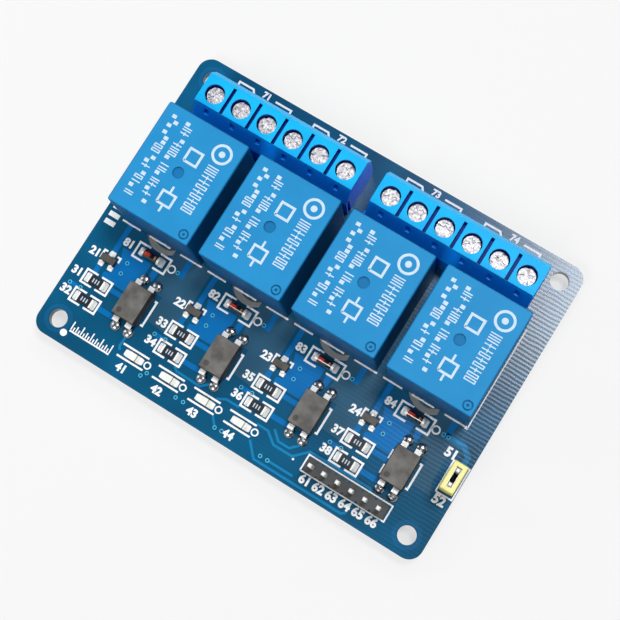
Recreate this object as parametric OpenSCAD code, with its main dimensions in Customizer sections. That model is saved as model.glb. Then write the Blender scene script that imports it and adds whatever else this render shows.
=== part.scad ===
// Four-channel relay board: a drilled circuit board that carries four sealed
// relays, two six-way screw terminals, four optocouplers with their small
// parts, a six-pin input header and a two-pin supply link with a pull-off cap.
// Millimetres. +X runs along the board, +Y towards the screw terminals, +Z up.
// The origin is below the board's centre, level with the cut ends of the pins.

/* [Board] */
// Thickness of the board
board_t = 1.6; // [1:0.2:2.4]
// Radius of the board's corners
corner_r = 2.5; // [1:0.5:3]
// Diameter of the four mounting holes
hole_d = 3.2; // [2.8:0.1:3.4]
// Distance of a mounting hole's centre from both edges
hole_inset = 3.5; // [3:0.5:4]
// Board left beside the outer relays
side_margin = 3.2; // [3:0.2:8]
// Board behind the terminals' wire side
back_margin = 3.65; // [3:0.05:8]
// Board in front of the relays, where the small parts sit
front_zone = 23.65; // [23:0.05:30]
// How far the cut pins stand out below the board
pin_reach = 2; // [1.4:0.2:3]

/* [Relays] */
// Number of relays, each with its own input stage
channels = 4; // [4]
// Width of a relay along the board
relay_w = 15.3; // [14.8:0.1:16.6]
// Length of a relay across the board
relay_l = 19; // [18.6:0.2:22]
// Height of a relay above the board
relay_h = 15.4; // [12:0.2:20]
// Gap between two relays
relay_gap = 2.1; // [1.6:0.1:4]
// Wall of the relay's cover round its base plate
cover_wall = 0.9; // [0.6:0.1:1.4]
// Thickness of the relay's base plate
base_t = 1.2; // [0.8:0.1:1.8]
// Inner radius of the isolation slot round a relay's common pin
slot_r = 3.1; // [2.6:0.1:3.3]
// Width of the isolation slot
slot_w = 1.1; // [0.8:0.1:1.3]

/* [Screw terminals] */
// Distance between two poles
pole_pitch = 5.08; // [5:0.02:5.08]
// Poles in one terminal block
poles = 6; // [6]
// Gap between the two blocks
block_gap = 3.52; // [3:0.02:3.6]
// Height of a block above the board
block_h = 10.1; // [9.6:0.1:14]
// Depth of a block at its foot
block_d = 8.2; // [8:0.1:11]
// Gap between a block and the relays
block_relay_gap = 1.5; // [1.2:0.1:4]
// Diameter of a screw's well
well_d = 3.4; // [3.2:0.1:3.6]
// Diameter of a screw's head
head_d = 3; // [2.8:0.1:3.1]
// Thickness of a screw's head
head_t = 1.4; // [1:0.1:1.6]
// Depth of a screw's head below the block's top
head_sink = 1.1; // [0.4:0.1:1.4]
// Diameter of a screw's shank
shank_d = 2.5; // [2:0.1:2.6]
// Wall of the wire cage
cage_wall = 0.6; // [0.4:0.1:0.8]

/* [Small parts] */
// Width of an optocoupler's body
opto_w = 4.6; // [4.2:0.1:4.8]
// Length of an optocoupler's body
opto_l = 6.5; // [5.6:0.1:7]
// Height of an optocoupler's body
opto_h = 3.5; // [2.4:0.1:4.5]
// Length of a transistor's body
transistor_l = 2.9; // [2.6:0.1:3.2]
// Diameter of a glass diode
diode_d = 1.5; // [1.2:0.1:1.8]
// Length of a glass diode
diode_l = 3.6; // [3:0.1:4.4]
// Length of a chip resistor
chip_l = 3.2; // [2.8:0.1:3.6]
// Width of a chip resistor
chip_w = 1.6; // [1.2:0.1:2]
// Length of an indicator lamp
led_l = 2; // [1.6:0.1:2.6]
// Distance between two indicator lamps
led_pitch = 7.15; // [6:0.05:7.4]

/* [Headers] */
// Distance between two header pins
pin_pitch = 2.54; // [2.4:0.02:2.7]
// Side of a square header pin
pin_side = 0.64; // [0.5:0.02:0.8]
// Height of a header's plastic strip
strip_h = 2.5; // [2:0.1:3.5]
// Length of a header pin above its strip
pin_free = 6; // [5:0.2:8]
// Pins in the input header
inputs = 6; // [6]
// Height of the link's cap
cap_h = 6; // [5.2:0.2:7]

/* [Hidden] */
$fn = 48;
seat = 0.1;                    // clearance of parts that go into each other
cut = 1;                       // overshoot of a cut past a face

// Heights
z_under = pin_reach;           // the board's underside
z_top = z_under + board_t;     // the board's component side

// Places along the board
pitch = relay_w + relay_gap;
board_l = channels * pitch + 2 * side_margin;
function channel_x(i) = (i - (channels - 1) / 2) * pitch;

// Places across the board, from the back edge to the front edge
board_w = back_margin + block_d + block_relay_gap + relay_l + front_zone;
wire_y = board_w / 2 - back_margin;
block_y = wire_y - block_d;
relay_back = block_y - block_relay_gap;
relay_front = relay_back - relay_l;
relay_y = (relay_back + relay_front) / 2;

// Small parts: each one's place is counted from its relay's centre line and
// from the relays' front
diode_at = [-0.35, -3.05];
transistor_at = [-6.45, -7.25];
opto_at = [1.85, -11.5];
chips_at = [[-6.2, -11.6], [-6.2, -15.25]];

// Lamps, input header and supply link: counted from the board's front corners
lamp_at = [18.3, 4.6];
header_at = [15.8, 4.7];
link_at = [1.8, 15];
lamp_x0 = -board_l / 2 + lamp_at[0];
lamp_y = -board_w / 2 + lamp_at[1];
header_x = board_l / 2 - header_at[0];
header_y = -board_w / 2 + header_at[1];
link_x = board_l / 2 - link_at[0];
link_y = -board_w / 2 + link_at[1];

// Relay pins, from the relay's centre. The insets are from its sides and ends.
pin_inset = 1.65;
common_inset = 2.5;
coil_inset = 4.5;
throw_inset = 2.3;
pin_spread = relay_w / 2 - pin_inset;
common_dy = -relay_l / 2 + common_inset;
coil_dy = -relay_l / 2 + coil_inset;
throw_dy = relay_l / 2 - throw_inset;
contact_pins = [[0, common_dy], [-pin_spread, throw_dy], [pin_spread, throw_dy]];
coil_pins = [[-pin_spread, coil_dy], [pin_spread, coil_dy]];
blade = [1, 0.5];
coil_pin = [0.6, 0.6];
relay_hole_d = 1.3;
stand_off = 0.3;               // the relay's feet under its cover
plate_lift = 0.2;              // the base plate above the cover's rim

// Terminal block, with the pole's axis as its own zero
block_l = poles * pole_pitch;
block_x = (block_l + block_gap) / 2;
top_back = 1.05;               // the chamfer on the wire side
top_front = 1.85;              // the slope on the relay side
slope_h = 3.9;
chamfer_h = 2.2;
screw_inset = 3.95;            // from the wire side to the screw's axis
pole_y = wire_y - screw_inset;
partition = 1.28;              // the wall between two bays
shelf_t = 1;                   // the floor of a bay, and the shelf under a screw's head
bay_w = pole_pitch - partition;
bay_floor = shelf_t;
ledge_z = block_h - head_sink - head_t;
bay_top = ledge_z - shelf_t;
cage_w = bay_w - 2 * seat;
cage_d = 4;
cage_z = bay_floor + seat;
cage_h = bay_top - seat - cage_z;
cage_top = 2 * cage_wall;      // the cage's roof is folded double
mouth_top = cage_z + cage_h - cage_top;
mouth_w = cage_w - 2 * cage_wall;
tongue = [mouth_w - 2 * seat, 0.8];
tongue_top = mouth_top - seat;
leg = [1, 0.8];
leg_dy = -cage_d / 2 - seat - leg[1] / 2;
leg_hole_d = 1.5;
bay_depth = screw_inset - leg_dy + leg[1] / 2 + seat;

// Headers, link cap and its spring clip
header_hole_d = pin_side * sqrt(2) + 1.5 * seat;
cell_notch = 0.4;
cap_spare = 0.06;              // the cap is this much less than its pins' room
cap_w = pin_pitch - cap_spare;
cap_l = 2 * pin_pitch - cap_spare;
cap_roof = 0.5;
clip_t = 0.2;
clip_lift = 0.6;
clip_w = pin_side + 2 * (clip_t + seat);
clip_l = pin_pitch + clip_w;

function numbered(name, count) = [for (i = [1 : count]) str(name, "_", i)];

// ---- Shared shapes ----

module rounded_outline(l, w, r) {
    square([l - 2 * r, w], center = true);
    square([l, w - 2 * r], center = true);
    for (sx = [-1, 1], sy = [-1, 1])
        translate([sx * (l / 2 - r), sy * (w / 2 - r)])
            circle(r);
}

// A block whose four top edges are bevelled
module bevelled_block(l, w, h, r, bevel) {
    difference() {
        linear_extrude(h)
            rounded_outline(l, w, r);
        for (side = [-1, 1]) {
            translate([side * l / 2, 0, h])
                rotate([0, 45, 0])
                    cube([bevel * sqrt(2), w + 2, bevel * sqrt(2)], center = true);
            translate([0, side * w / 2, h])
                rotate([45, 0, 0])
                    cube([l + 2, bevel * sqrt(2), bevel * sqrt(2)], center = true);
        }
    }
}

// Side view of a moulded body: widest at its parting line, drafted above and below
function drafted(half, h, parting, draft) = [
    [-half + draft, 0], [half - draft, 0], [half, parting],
    [half - draft, h], [-half + draft, h], [-half, parting]
];

module moulded_body(l, w, h, draft) {
    intersection() {
        rotate([90, 0, 0])
            linear_extrude(w + 2, center = true)
                polygon(drafted(l / 2, h, h / 2, draft));
        rotate([90, 0, 90])
            linear_extrude(l + 2, center = true)
                polygon(drafted(w / 2, h, h / 2, draft));
    }
}

// A flat lead that leaves a body at z, steps down and ends in a foot. It runs
// along +Y. The bends are its root inside the body, its knee and its toe.
module gull_lead(root, knee, toe, z, t, w)
    rotate([90, 0, 90])
        linear_extrude(w, center = true) {
            translate([-root, z - t / 2])
                square([root + knee + t, t]);
            translate([knee, 0])
                square([t, z]);
            translate([knee, 0])
                square([toe - knee, t]);
        }

// A square header pin with bevelled ends
module header_pin(h) {
    bevel = pin_side / 4;
    half = pin_side / 2;
    side_view = [
        [-half + bevel, 0], [half - bevel, 0], [half, bevel], [half, h - bevel],
        [half - bevel, h], [-half + bevel, h], [-half, h - bevel], [-half, bevel]
    ];
    intersection() {
        rotate([90, 0, 0])
            linear_extrude(pin_side, center = true)
                polygon(side_view);
        rotate([90, 0, 90])
            linear_extrude(pin_side, center = true)
                polygon(side_view);
    }
}

// One header cell seen from above, a square with its corners cut
function cell_outline(half, notch) = [
    [-half, -half + notch], [-half + notch, -half], [half - notch, -half], [half, -half + notch],
    [half, half - notch], [half - notch, half], [-half + notch, half], [-half, half - notch]
];

module header_strip(count) {
    difference() {
        linear_extrude(strip_h)
            at_header_pins(count)
                polygon(cell_outline(pin_pitch / 2, cell_notch));
        at_header_pins(count)
            cube([pin_side, pin_side, 4 * strip_h], center = true);
    }
}

// ---- Places ----

module at_header_pins(count)
    for (i = [0 : count - 1])
        translate([(i - (count - 1) / 2) * pin_pitch, 0, 0])
            children();

module at_input_header(z)
    translate([header_x, header_y, z])
        children();

module at_link_header(z)
    translate([link_x, link_y, z])
        rotate([0, 0, 90])
            children();

module at_relays(z)
    for (i = [0 : channels - 1])
        translate([channel_x(i), relay_y, z])
            children();

module at_channel(i, place, z)
    translate([channel_x(i) + place[0], relay_front + place[1], z])
        children();

module at_channels(place, z)
    for (i = [0 : channels - 1])
        at_channel(i, place, z)
            children();

function block_side(b) = b == 1 ? -1 : 1;
function pole_x(p) = (p - (poles - 1) / 2) * pole_pitch;

module at_poles(z)
    for (b = [1, 2], p = [0 : poles - 1])
        translate([block_side(b) * block_x + pole_x(p), pole_y, z])
            children();

// ---- Circuit board ----

// Runs round the front of the common pin, which is its zero, and back on both sides
module isolation_slot() {
    run = 0.8;
    middle = slot_r + slot_w / 2;
    difference() {
        circle(slot_r + slot_w);
        circle(slot_r);
        translate([-2 * middle, 0])
            square([4 * middle, 2 * middle]);
    }
    for (side = [-1, 1]) {
        translate([side * middle - slot_w / 2, -0.01])
            square([slot_w, run + 0.01]);
        translate([side * middle, run])
            circle(slot_w / 2);
    }
}

module circuit_board() {
    color("#0e4e78")
        difference() {
            translate([0, 0, z_under])
                linear_extrude(board_t)
                    rounded_outline(board_l, board_w, corner_r);
            translate([0, 0, z_under - cut]) {
                through = board_t + 2 * cut;
                for (sx = [-1, 1], sy = [-1, 1])
                    translate([sx * (board_l / 2 - hole_inset), sy * (board_w / 2 - hole_inset), 0])
                        cylinder(d = hole_d, h = through);
                at_relays(0) {
                    for (p = concat(contact_pins, coil_pins))
                        translate([p[0], p[1], 0])
                            cylinder(d = relay_hole_d, h = through);
                    translate([0, common_dy, 0])
                        linear_extrude(through)
                            isolation_slot();
                }
                at_poles(0)
                    translate([0, leg_dy, 0])
                        cylinder(d = leg_hole_d, h = through);
                at_input_header(0)
                    at_header_pins(inputs)
                        cylinder(d = header_hole_d, h = through);
                at_link_header(0)
                    at_header_pins(2)
                        cylinder(d = header_hole_d, h = through);
            }
        }
}

// ---- Relays ----

rim_z = z_top + stand_off;
plate_z = rim_z + plate_lift;
pocket_l = relay_l - 2 * cover_wall;
pocket_w = relay_w - 2 * cover_wall;

// The top has a gate mark in its middle and a vent ring in one corner
module relay_cover(i) {
    dimple = 0.25;
    gate_d = 1.95;
    ring_d = [1.7, 1.2, 0.45];
    ring_inset = 1.4;
    h = relay_h - stand_off;
    color("#3098d8")
        translate([channel_x(i - 1), relay_y, rim_z])
            difference() {
                bevelled_block(relay_w, relay_l, h, 0.5, 0.2);
                translate([-pocket_w / 2, -pocket_l / 2, -cut])
                    cube([pocket_w, pocket_l, cut + plate_lift + base_t]);
                translate([0, 0, h - dimple])
                    cylinder(d = gate_d, h = dimple + cut);
                translate([relay_w / 2 - ring_inset, -relay_l / 2 + ring_inset, h - dimple]) {
                    difference() {
                        cylinder(d = ring_d[0], h = dimple + cut);
                        translate([0, 0, -cut])
                            cylinder(d = ring_d[1], h = dimple + 3 * cut);
                    }
                    cylinder(d = ring_d[2], h = dimple + cut);
                }
            }
}

module relay_pin_shape(size, z, h)
    translate([-size[0] / 2, -size[1] / 2, z])
        cube([size[0], size[1], h]);

module relay_base(i) {
    foot = 1.2;
    color("#16202e")
        translate([channel_x(i - 1), relay_y, 0])
            difference() {
                union() {
                    translate([-pocket_w / 2, -pocket_l / 2, plate_z])
                        cube([pocket_w, pocket_l, base_t]);
                    for (sx = [-1, 1], sy = [-1, 1])
                        translate([
                            sx * (pocket_w - foot) / 2 - foot / 2,
                            sy * (pocket_l - foot) / 2 - foot / 2,
                            z_top
                        ])
                            cube([foot, foot, plate_z + base_t - z_top]);
                }
                relay_pin_set();
            }
}

// The five pins of one relay, from their cut ends to the top of the base plate
module relay_pin_set() {
    h = plate_z + base_t;
    for (p = contact_pins)
        translate([p[0], p[1], 0])
            relay_pin_shape(blade, 0, h);
    for (p = coil_pins)
        translate([p[0], p[1], 0])
            relay_pin_shape(coil_pin, 0, h);
}

module relay_pins() {
    color("#c8ccd0")
        at_relays(0)
            relay_pin_set();
}

// ---- Screw terminals ----

// The rib on a block's left end, which slides into the next block's groove
dovetail_y = block_y + 0.65;
dovetail_h = block_h - slope_h - 0.4;

module dovetail(spare) {
    reach = 0.5 + spare;
    neck = 0.25 + spare;
    tail = 0.4 + spare;
    linear_extrude(dovetail_h + 2 * spare)
        polygon([[0.02, -neck], [0.02, neck], [-reach, tail], [-reach, -tail]]);
}

// Grooves part the poles on top of a block and stop short of its wire side
groove_w = 0.6;
groove_deep = 1.2;
groove_stop = 0.4;

module terminal_housing(b) {
    side_view = [
        [block_y, 0], [wire_y, 0], [wire_y, block_h - chamfer_h],
        [wire_y - top_back, block_h], [block_y + top_front, block_h],
        [block_y, block_h - slope_h]
    ];
    color("#0094f0")
        translate([block_side(b) * block_x, 0, z_top])
            difference() {
                union() {
                    rotate([90, 0, 90])
                        linear_extrude(block_l, center = true)
                            polygon(side_view);
                    translate([-block_l / 2, dovetail_y, 0])
                        dovetail(0);
                }
                translate([block_l / 2, dovetail_y, -seat])
                    dovetail(seat);
                for (p = [0 : poles - 1])
                    translate([pole_x(p), pole_y, 0])
                        pole_space();
                for (p = [0 : poles - 2])
                    translate([pole_x(p + 0.5) - groove_w / 2, block_y + top_front, block_h - groove_deep])
                        cube([groove_w, block_d - top_front - top_back - groove_stop, groove_deep + cut]);
            }
}

// What is hollow at one pole: the well for the screw, the bay for the cage and
// the wire, the slot for the leg and the sight window on the relay side
module pole_space() {
    window = [0.8, block_d - screw_inset, 1.3];
    window_lift = 0.4;
    translate([-bay_w / 2, screw_inset - bay_depth, bay_floor])
        cube([bay_w, bay_depth + cut, bay_top - bay_floor]);
    translate([0, 0, bay_top - cut])
        cylinder(d = shank_d + 2 * seat, h = ledge_z - bay_top + 2 * cut);
    translate([0, 0, ledge_z])
        cylinder(d = well_d, h = block_h - ledge_z + cut);
    translate([-leg[0] / 2 - seat, leg_dy - leg[1] / 2 - seat, -cut])
        cube([leg[0] + 2 * seat, leg[1] + 2 * seat, bay_floor + 2 * cut]);
    translate([-window[0] / 2, -window[1], ledge_z + window_lift])
        cube(window);
}

// Each screw was left at an angle of its own
module terminal_screws() {
    shank_end = tongue_top + seat / 2;
    turn = [37, 53];
    color("#d8dce0")
        for (b = [1, 2], p = [0 : poles - 1])
            translate([block_side(b) * block_x + pole_x(p), pole_y, z_top])
                difference() {
                    union() {
                        translate([0, 0, shank_end])
                            cylinder(d = shank_d, h = ledge_z + seat - shank_end);
                        translate([0, 0, ledge_z])
                            cylinder(d = head_d, h = head_t);
                    }
                    translate([0, 0, ledge_z + head_t])
                        rotate([0, 0, turn[0] * p + turn[1] * b])
                            screw_recess();
                }
}

// A slot right across the head, crossed by a shorter one
module screw_recess() {
    slot = 0.6;
    deep = 0.35;
    cross_l = 0.72 * head_d;
    for (bar = [[head_d + cut, slot], [slot, cross_l]])
        cube([bar[0], bar[1], 2 * deep], center = true);
}

module terminal_cages() {
    color("#b8bcc0")
        at_poles(z_top)
            difference() {
                translate([-cage_w / 2, -cage_d / 2, cage_z])
                    cube([cage_w, cage_d, cage_h]);
                translate([-cage_w / 2 + cage_wall, -cage_d / 2 - cut, cage_z + cage_wall])
                    cube([mouth_w, cage_d + 2 * cut, mouth_top - cage_z - cage_wall]);
                translate([0, 0, mouth_top - cut / 2])
                    cylinder(d = shank_d + seat, h = cage_top + cut);
            }
}

// A tongue that passes through the cage, with its leg down through the board
module terminal_contacts() {
    back = leg_dy - leg[1] / 2;
    nose = 0.2;
    color("#c8ccd0")
        at_poles(0) {
            translate([-leg[0] / 2, back, 0])
                cube([leg[0], leg[1], z_top + tongue_top]);
            translate([-tongue[0] / 2, back, z_top + tongue_top - tongue[1]])
                cube([tongue[0], cage_d / 2 + nose - back, tongue[1]]);
        }
}

// ---- Input stages ----

opto_lift = 0.15;
opto_lead = [1.1, 0.25];
opto_lead_z = opto_lift + opto_h / 2;

// How deep a lead is rooted in the body, how far out it steps down and where it ends
opto_root = 0.6;
opto_knee = 0.55;
opto_toe = 1.45;

module opto_lead_set()
    for (side = [0, 180], dx = [-0.5, 0.5])
        rotate([0, 0, side])
            translate([dx * pin_pitch, opto_l / 2, 0])
                gull_lead(opto_root, opto_knee, opto_toe, opto_lead_z, opto_lead[1], opto_lead[0]);

module optocoupler(i) {
    draft = 0.2;
    dot_d = 0.9;
    dot_inset = 1.15;
    dot_deep = 0.1;
    color("#56544f")
        at_channel(i - 1, opto_at, z_top)
            difference() {
                translate([0, 0, opto_lift])
                    moulded_body(opto_w, opto_l, opto_h, draft);
                opto_lead_set();
                translate([
                    -opto_w / 2 + dot_inset,
                    -opto_l / 2 + dot_inset,
                    opto_lift + opto_h - dot_deep
                ])
                    cylinder(d = dot_d, h = dot_deep + cut);
            }
}

module optocoupler_leads() {
    color("#d8dce0")
        at_channels(opto_at, z_top)
            opto_lead_set();
}

transistor_w = 1.3;
transistor_h = 1;
transistor_lift = 0.08;
transistor_lead = [0.42, 0.14];
transistor_lead_dx = 0.95;
transistor_root = 0.25;
transistor_knee = 0.2;
transistor_toe = 0.6;

// One lead towards the relays, two away from them
module transistor_lead_set() {
    z = transistor_lift + transistor_h / 2;
    for (place = [[0, 0], [180, -transistor_lead_dx], [180, transistor_lead_dx]])
        rotate([0, 0, place[0]])
            translate([place[1], transistor_w / 2, 0])
                gull_lead(
                    transistor_root, transistor_knee, transistor_toe,
                    z, transistor_lead[1], transistor_lead[0]
                );
}

module transistor(i) {
    draft = 0.08;
    color("#3c3a38")
        at_channel(i - 1, transistor_at, z_top)
            difference() {
                translate([0, 0, transistor_lift])
                    moulded_body(transistor_l, transistor_w, transistor_h, draft);
                transistor_lead_set();
            }
}

module transistor_leads() {
    color("#d8dce0")
        at_channels(transistor_at, z_top)
            transistor_lead_set();
}

diode_cap_l = 0.45;
diode_cap_lip = 0.05;
diode_z = z_top + diode_d / 2;

module diode(i) {
    color("#c8502c")
        at_channel(i - 1, diode_at, diode_z)
            rotate([0, 90, 0])
                cylinder(d = diode_d - 2 * diode_cap_lip, h = diode_l - 2 * diode_cap_l, center = true);
}

module diode_caps() {
    color("#d8dce0")
        at_channels(diode_at, diode_z)
            for (side = [-1, 1])
                translate([side * (diode_l - diode_cap_l) / 2, 0, 0])
                    rotate([0, 90, 0])
                        cylinder(d = diode_d, h = diode_cap_l, center = true);
}

// A flat carrier with a cast lens on it
module lamp(i) {
    foot_w = 1.25;
    foot_h = 0.35;
    lens_h = 0.45;
    rim = 0.2 * led_l;
    draft = 0.08;
    color("#f4f4ec")
        translate([lamp_x0 + (i - 1) * led_pitch, lamp_y, z_top]) {
            translate([-led_l / 2, -foot_w / 2, 0])
                cube([led_l, foot_w, foot_h]);
            translate([0, 0, foot_h])
                rotate([90, 0, 0])
                    linear_extrude(foot_w, center = true)
                        polygon([
                            [-led_l / 2 + rim, 0], [led_l / 2 - rim, 0],
                            [led_l / 2 - rim - draft, lens_h], [-led_l / 2 + rim + draft, lens_h]
                        ]);
        }
}

// Odd numbers stand in the row nearer the relays
module resistor(n) {
    end_cap = 0.5;
    side_rim = 0.05;
    body_h = 0.5;
    glaze = [chip_l - 2 * end_cap, chip_w - 2 * side_rim, side_rim];
    color("#2c2c2e")
        at_channel(floor((n - 1) / 2), chips_at[(n - 1) % 2], z_top) {
            translate([-chip_l / 2, -chip_w / 2, 0])
                cube([chip_l, chip_w, body_h]);
            translate([-glaze[0] / 2, -glaze[1] / 2, body_h])
                cube(glaze);
        }
}

// ---- Headers ----

pin_h = z_top + strip_h + pin_free;

module input_header() {
    color("#1c1c1e")
        at_input_header(z_top)
            header_strip(inputs);
}

module input_pins() {
    color("#d8d4c0")
        at_input_header(0)
            at_header_pins(inputs)
                header_pin(pin_h);
}

module link_header() {
    color("#1c1c1e")
        at_link_header(z_top)
            header_strip(2);
}

module link_pins() {
    color("#d8d4c0")
        at_link_header(0)
            at_header_pins(2)
                header_pin(pin_h);
}

cap_z = z_top + strip_h;
cap_hollow = [clip_l + seat, clip_w + seat];

// Open below, and open above but for a lip that holds the clip down
module link_cap() {
    lip = 0.15;
    color("#f0f080")
        at_link_header(cap_z)
            difference() {
                bevelled_block(cap_l, cap_w, cap_h, 0.2, 0.15);
                translate([-cap_hollow[0] / 2, -cap_hollow[1] / 2, -cut])
                    cube([cap_hollow[0], cap_hollow[1], cap_h - cap_roof + cut]);
                translate([-cap_hollow[0] / 2 + lip, -cap_hollow[1] / 2 + lip, -cut])
                    cube([cap_hollow[0] - 2 * lip, cap_hollow[1] - 2 * lip, cap_h + 2 * cut]);
            }
}

// A strip folded round both pins
module link_clip() {
    color("#e0e0d8")
        at_link_header(cap_z + clip_lift)
            linear_extrude(cap_h - cap_roof - clip_lift)
                difference() {
                    square([clip_l, clip_w], center = true);
                    square([clip_l - 2 * clip_t, clip_w - 2 * clip_t], center = true);
                }
}

// ---- Solder ----

// A cone under the board round a pin of the given section, on a pad of radius r
module solder_cone(size, r) {
    drop = 0.55 * pin_reach;
    difference() {
        translate([0, 0, z_under - drop])
            cylinder(r1 = r / 2, r2 = r, h = drop);
        cube([size[0], size[1], 4 * z_under], center = true);
    }
}

module solder_joints() {
    pin = [pin_side, pin_side];
    contact_pad = 1.2;
    coil_pad = 1.1;
    leg_pad = 1.35;
    header_pad = 0.95;
    color("#c0c4c8") {
        at_relays(0) {
            for (p = contact_pins)
                translate([p[0], p[1], 0])
                    solder_cone(blade, contact_pad);
            for (p = coil_pins)
                translate([p[0], p[1], 0])
                    solder_cone(coil_pin, coil_pad);
        }
        at_poles(0)
            translate([0, leg_dy, 0])
                solder_cone(leg, leg_pad);
        at_input_header(0)
            at_header_pins(inputs)
                solder_cone(pin, header_pad);
        at_link_header(0)
            at_header_pins(2)
                solder_cone(pin, header_pad);
    }
}

// ---- Choice of node ----

circuit_board();
for (i = [1 : channels]) {
    relay_cover(i);
    relay_base(i);
    optocoupler(i);
    transistor(i);
    diode(i);
    lamp(i);
}
for (n = [1 : 2 * channels])
    resistor(n);
for (b = [1, 2])
    terminal_housing(b);
relay_pins();
terminal_screws();
terminal_cages();
terminal_contacts();
optocoupler_leads();
transistor_leads();
diode_caps();
input_header();
input_pins();
link_header();
link_pins();
link_cap();
link_clip();
solder_joints();
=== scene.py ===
# %% [markdown]
# # Four-channel relay board
#
# The board carries four cube relays, two rows of screw terminals and, in front of
# the relays, one small input stage for each of them. Its construction is a CAD model
# that arrives as a fixed frame. This script gives every surface its finish and adds
# what is too thin or too soft for that model: copper under the lacquer, ink, solder.

import math
import random

import bpy
from mathutils import Matrix, Vector


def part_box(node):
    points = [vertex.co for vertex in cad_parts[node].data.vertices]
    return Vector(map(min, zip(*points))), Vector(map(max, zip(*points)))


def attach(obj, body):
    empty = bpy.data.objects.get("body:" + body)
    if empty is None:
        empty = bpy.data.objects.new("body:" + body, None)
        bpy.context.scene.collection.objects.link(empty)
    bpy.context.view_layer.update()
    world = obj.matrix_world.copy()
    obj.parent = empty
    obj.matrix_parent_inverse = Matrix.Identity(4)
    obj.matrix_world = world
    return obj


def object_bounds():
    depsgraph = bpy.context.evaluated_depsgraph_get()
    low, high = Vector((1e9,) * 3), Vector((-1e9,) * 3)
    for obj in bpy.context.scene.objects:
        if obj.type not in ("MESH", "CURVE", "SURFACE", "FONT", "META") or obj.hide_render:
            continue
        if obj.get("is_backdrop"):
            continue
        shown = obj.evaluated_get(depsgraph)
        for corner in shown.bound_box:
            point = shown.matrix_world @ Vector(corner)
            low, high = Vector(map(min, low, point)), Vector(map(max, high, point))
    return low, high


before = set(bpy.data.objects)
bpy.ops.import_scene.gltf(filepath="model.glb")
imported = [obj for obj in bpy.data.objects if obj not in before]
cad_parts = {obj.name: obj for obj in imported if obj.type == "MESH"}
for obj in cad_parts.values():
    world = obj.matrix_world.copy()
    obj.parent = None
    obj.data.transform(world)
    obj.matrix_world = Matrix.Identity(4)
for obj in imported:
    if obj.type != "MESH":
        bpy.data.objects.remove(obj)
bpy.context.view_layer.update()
MM = 0.001
BOARD = "board"
print("nodes in the frame:", len(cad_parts))

# %% [markdown]
# ## Working values
#
# Everything below is placed from the boxes of the CAD nodes, read once and kept in
# millimetres, because a circuit board is drawn in millimetres. `spot` turns a box
# into its lowest corner, highest corner and centre.

# %% Boxes of the main nodes, in millimetres


def spot(node):
    low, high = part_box(node)
    return low / MM, high / MM, (low + high) / (2 * MM)


CHANNELS = range(1, 5)
board_low, board_high, _ = spot("circuit_board")
TOP = board_high.z
EDGE = board_low.y
relays = [spot(f"relay_cover_{i}") for i in CHANNELS]
RELAY_X = [mid.x for _, _, mid in relays]
FRONT = relays[0][0].y
print("relay centre lines:", [round(x, 2) for x in RELAY_X], "mm; front at", round(FRONT, 2))

# %% [markdown]
# ## Helpers for materials
#
# Colours are written as hex values, the way a colour picker shows them, and Blender
# wants linear numbers, so one function converts them. Another adds a shader node
# with its settings and its links in one line, which keeps each material short
# enough to read as a recipe.

# %% Colour and node helpers


def rgb(code):
    """A hex colour as the linear red, green, blue and alpha that a socket takes."""
    parts = [int(code[i : i + 2], 16) / 255 for i in (1, 3, 5)]
    return [c / 12.92 if c <= 0.04045 else ((c + 0.055) / 1.055) ** 2.4 for c in parts] + [1.0]


def add(tree, kind, settings=None, **links):
    """Adds a node. settings are its attributes, its sockets' values by name or
    number, or a ramp's stops, each a place from 0 to 1 and a hex colour. links are
    sockets, with _ for a space or before a number, and the output that feeds each."""
    node = tree.nodes.new("ShaderNode" + kind)
    for key, value in (settings or {}).items():
        if key == "stops":
            points = node.color_ramp.elements
            while len(points) < len(value):
                points.new(0.5)
            for point, (place, code) in zip(points, value):
                point.position = place
                point.color = rgb(code)
        elif isinstance(key, int) or key in node.inputs:
            node.inputs[key].default_value = value
        else:
            setattr(node, key, value)
    for key, source in links.items():
        socket = int(key[1:]) if key[1:].isdigit() else key.replace("_", " ")
        tree.links.new(source, node.inputs[socket])
    return node


def start(name, **sockets):
    """A new material with one Principled shader, whose sockets are set by name."""
    material = bpy.data.materials.new(name)
    material.use_nodes = True
    shader = material.node_tree.nodes["Principled BSDF"]
    for key, value in sockets.items():
        shader.inputs[key.replace("_", " ")].default_value = value
    return material, material.node_tree, shader


print("middle grey is", round(rgb("#808080")[0], 3), "in linear light")

# %% [markdown]
# ## Patterns in real sizes
#
# A moulded grain or a ripple looks right only at its real size, so every noise takes
# its scale from a size in millimetres, and lies in the object's own space. Which way
# a surface looks tells the top of a part from its walls, with no need to paint faces
# by hand.

# %% Scale of a pattern, and the way a surface faces
WALL, FLAT = 0.3, 0.6


def scale_for(size_mm):
    """The scale at which a noise texture has lumps about size_mm across."""
    return 1 / (size_mm * MM)


def facing(tree, way=(0, 0, 1)):
    """1 where the surface looks along way or against it, 0 across it. WALL and FLAT
    are squares of the cosine between which it changes over."""
    normal = add(tree, "NewGeometry").outputs["Normal"]
    along_way = add(tree, "VectorMath", {"operation": "DOT_PRODUCT", 1: way}, _0=normal).outputs["Value"]
    square = add(tree, "Math", {"operation": "MULTIPLY"}, _0=along_way, _1=along_way)
    change = {"From Min": WALL, "From Max": FLAT}
    return add(tree, "MapRange", change, Value=square.outputs[0]).outputs["Result"]


turns_over = [round(math.degrees(math.acos(math.sqrt(share)))) for share in (FLAT, WALL)]
print("a surface goes from flat to wall between", turns_over, "degrees")

# %% [markdown]
# ## Camera
#
# The board lies turned by about 32 degrees and is seen almost from above. The camera
# is close, as for a small product on a table: the tall relays lean outwards a little.
# Its place is worked out backwards, from the point it looks at along its own axis.

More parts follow.
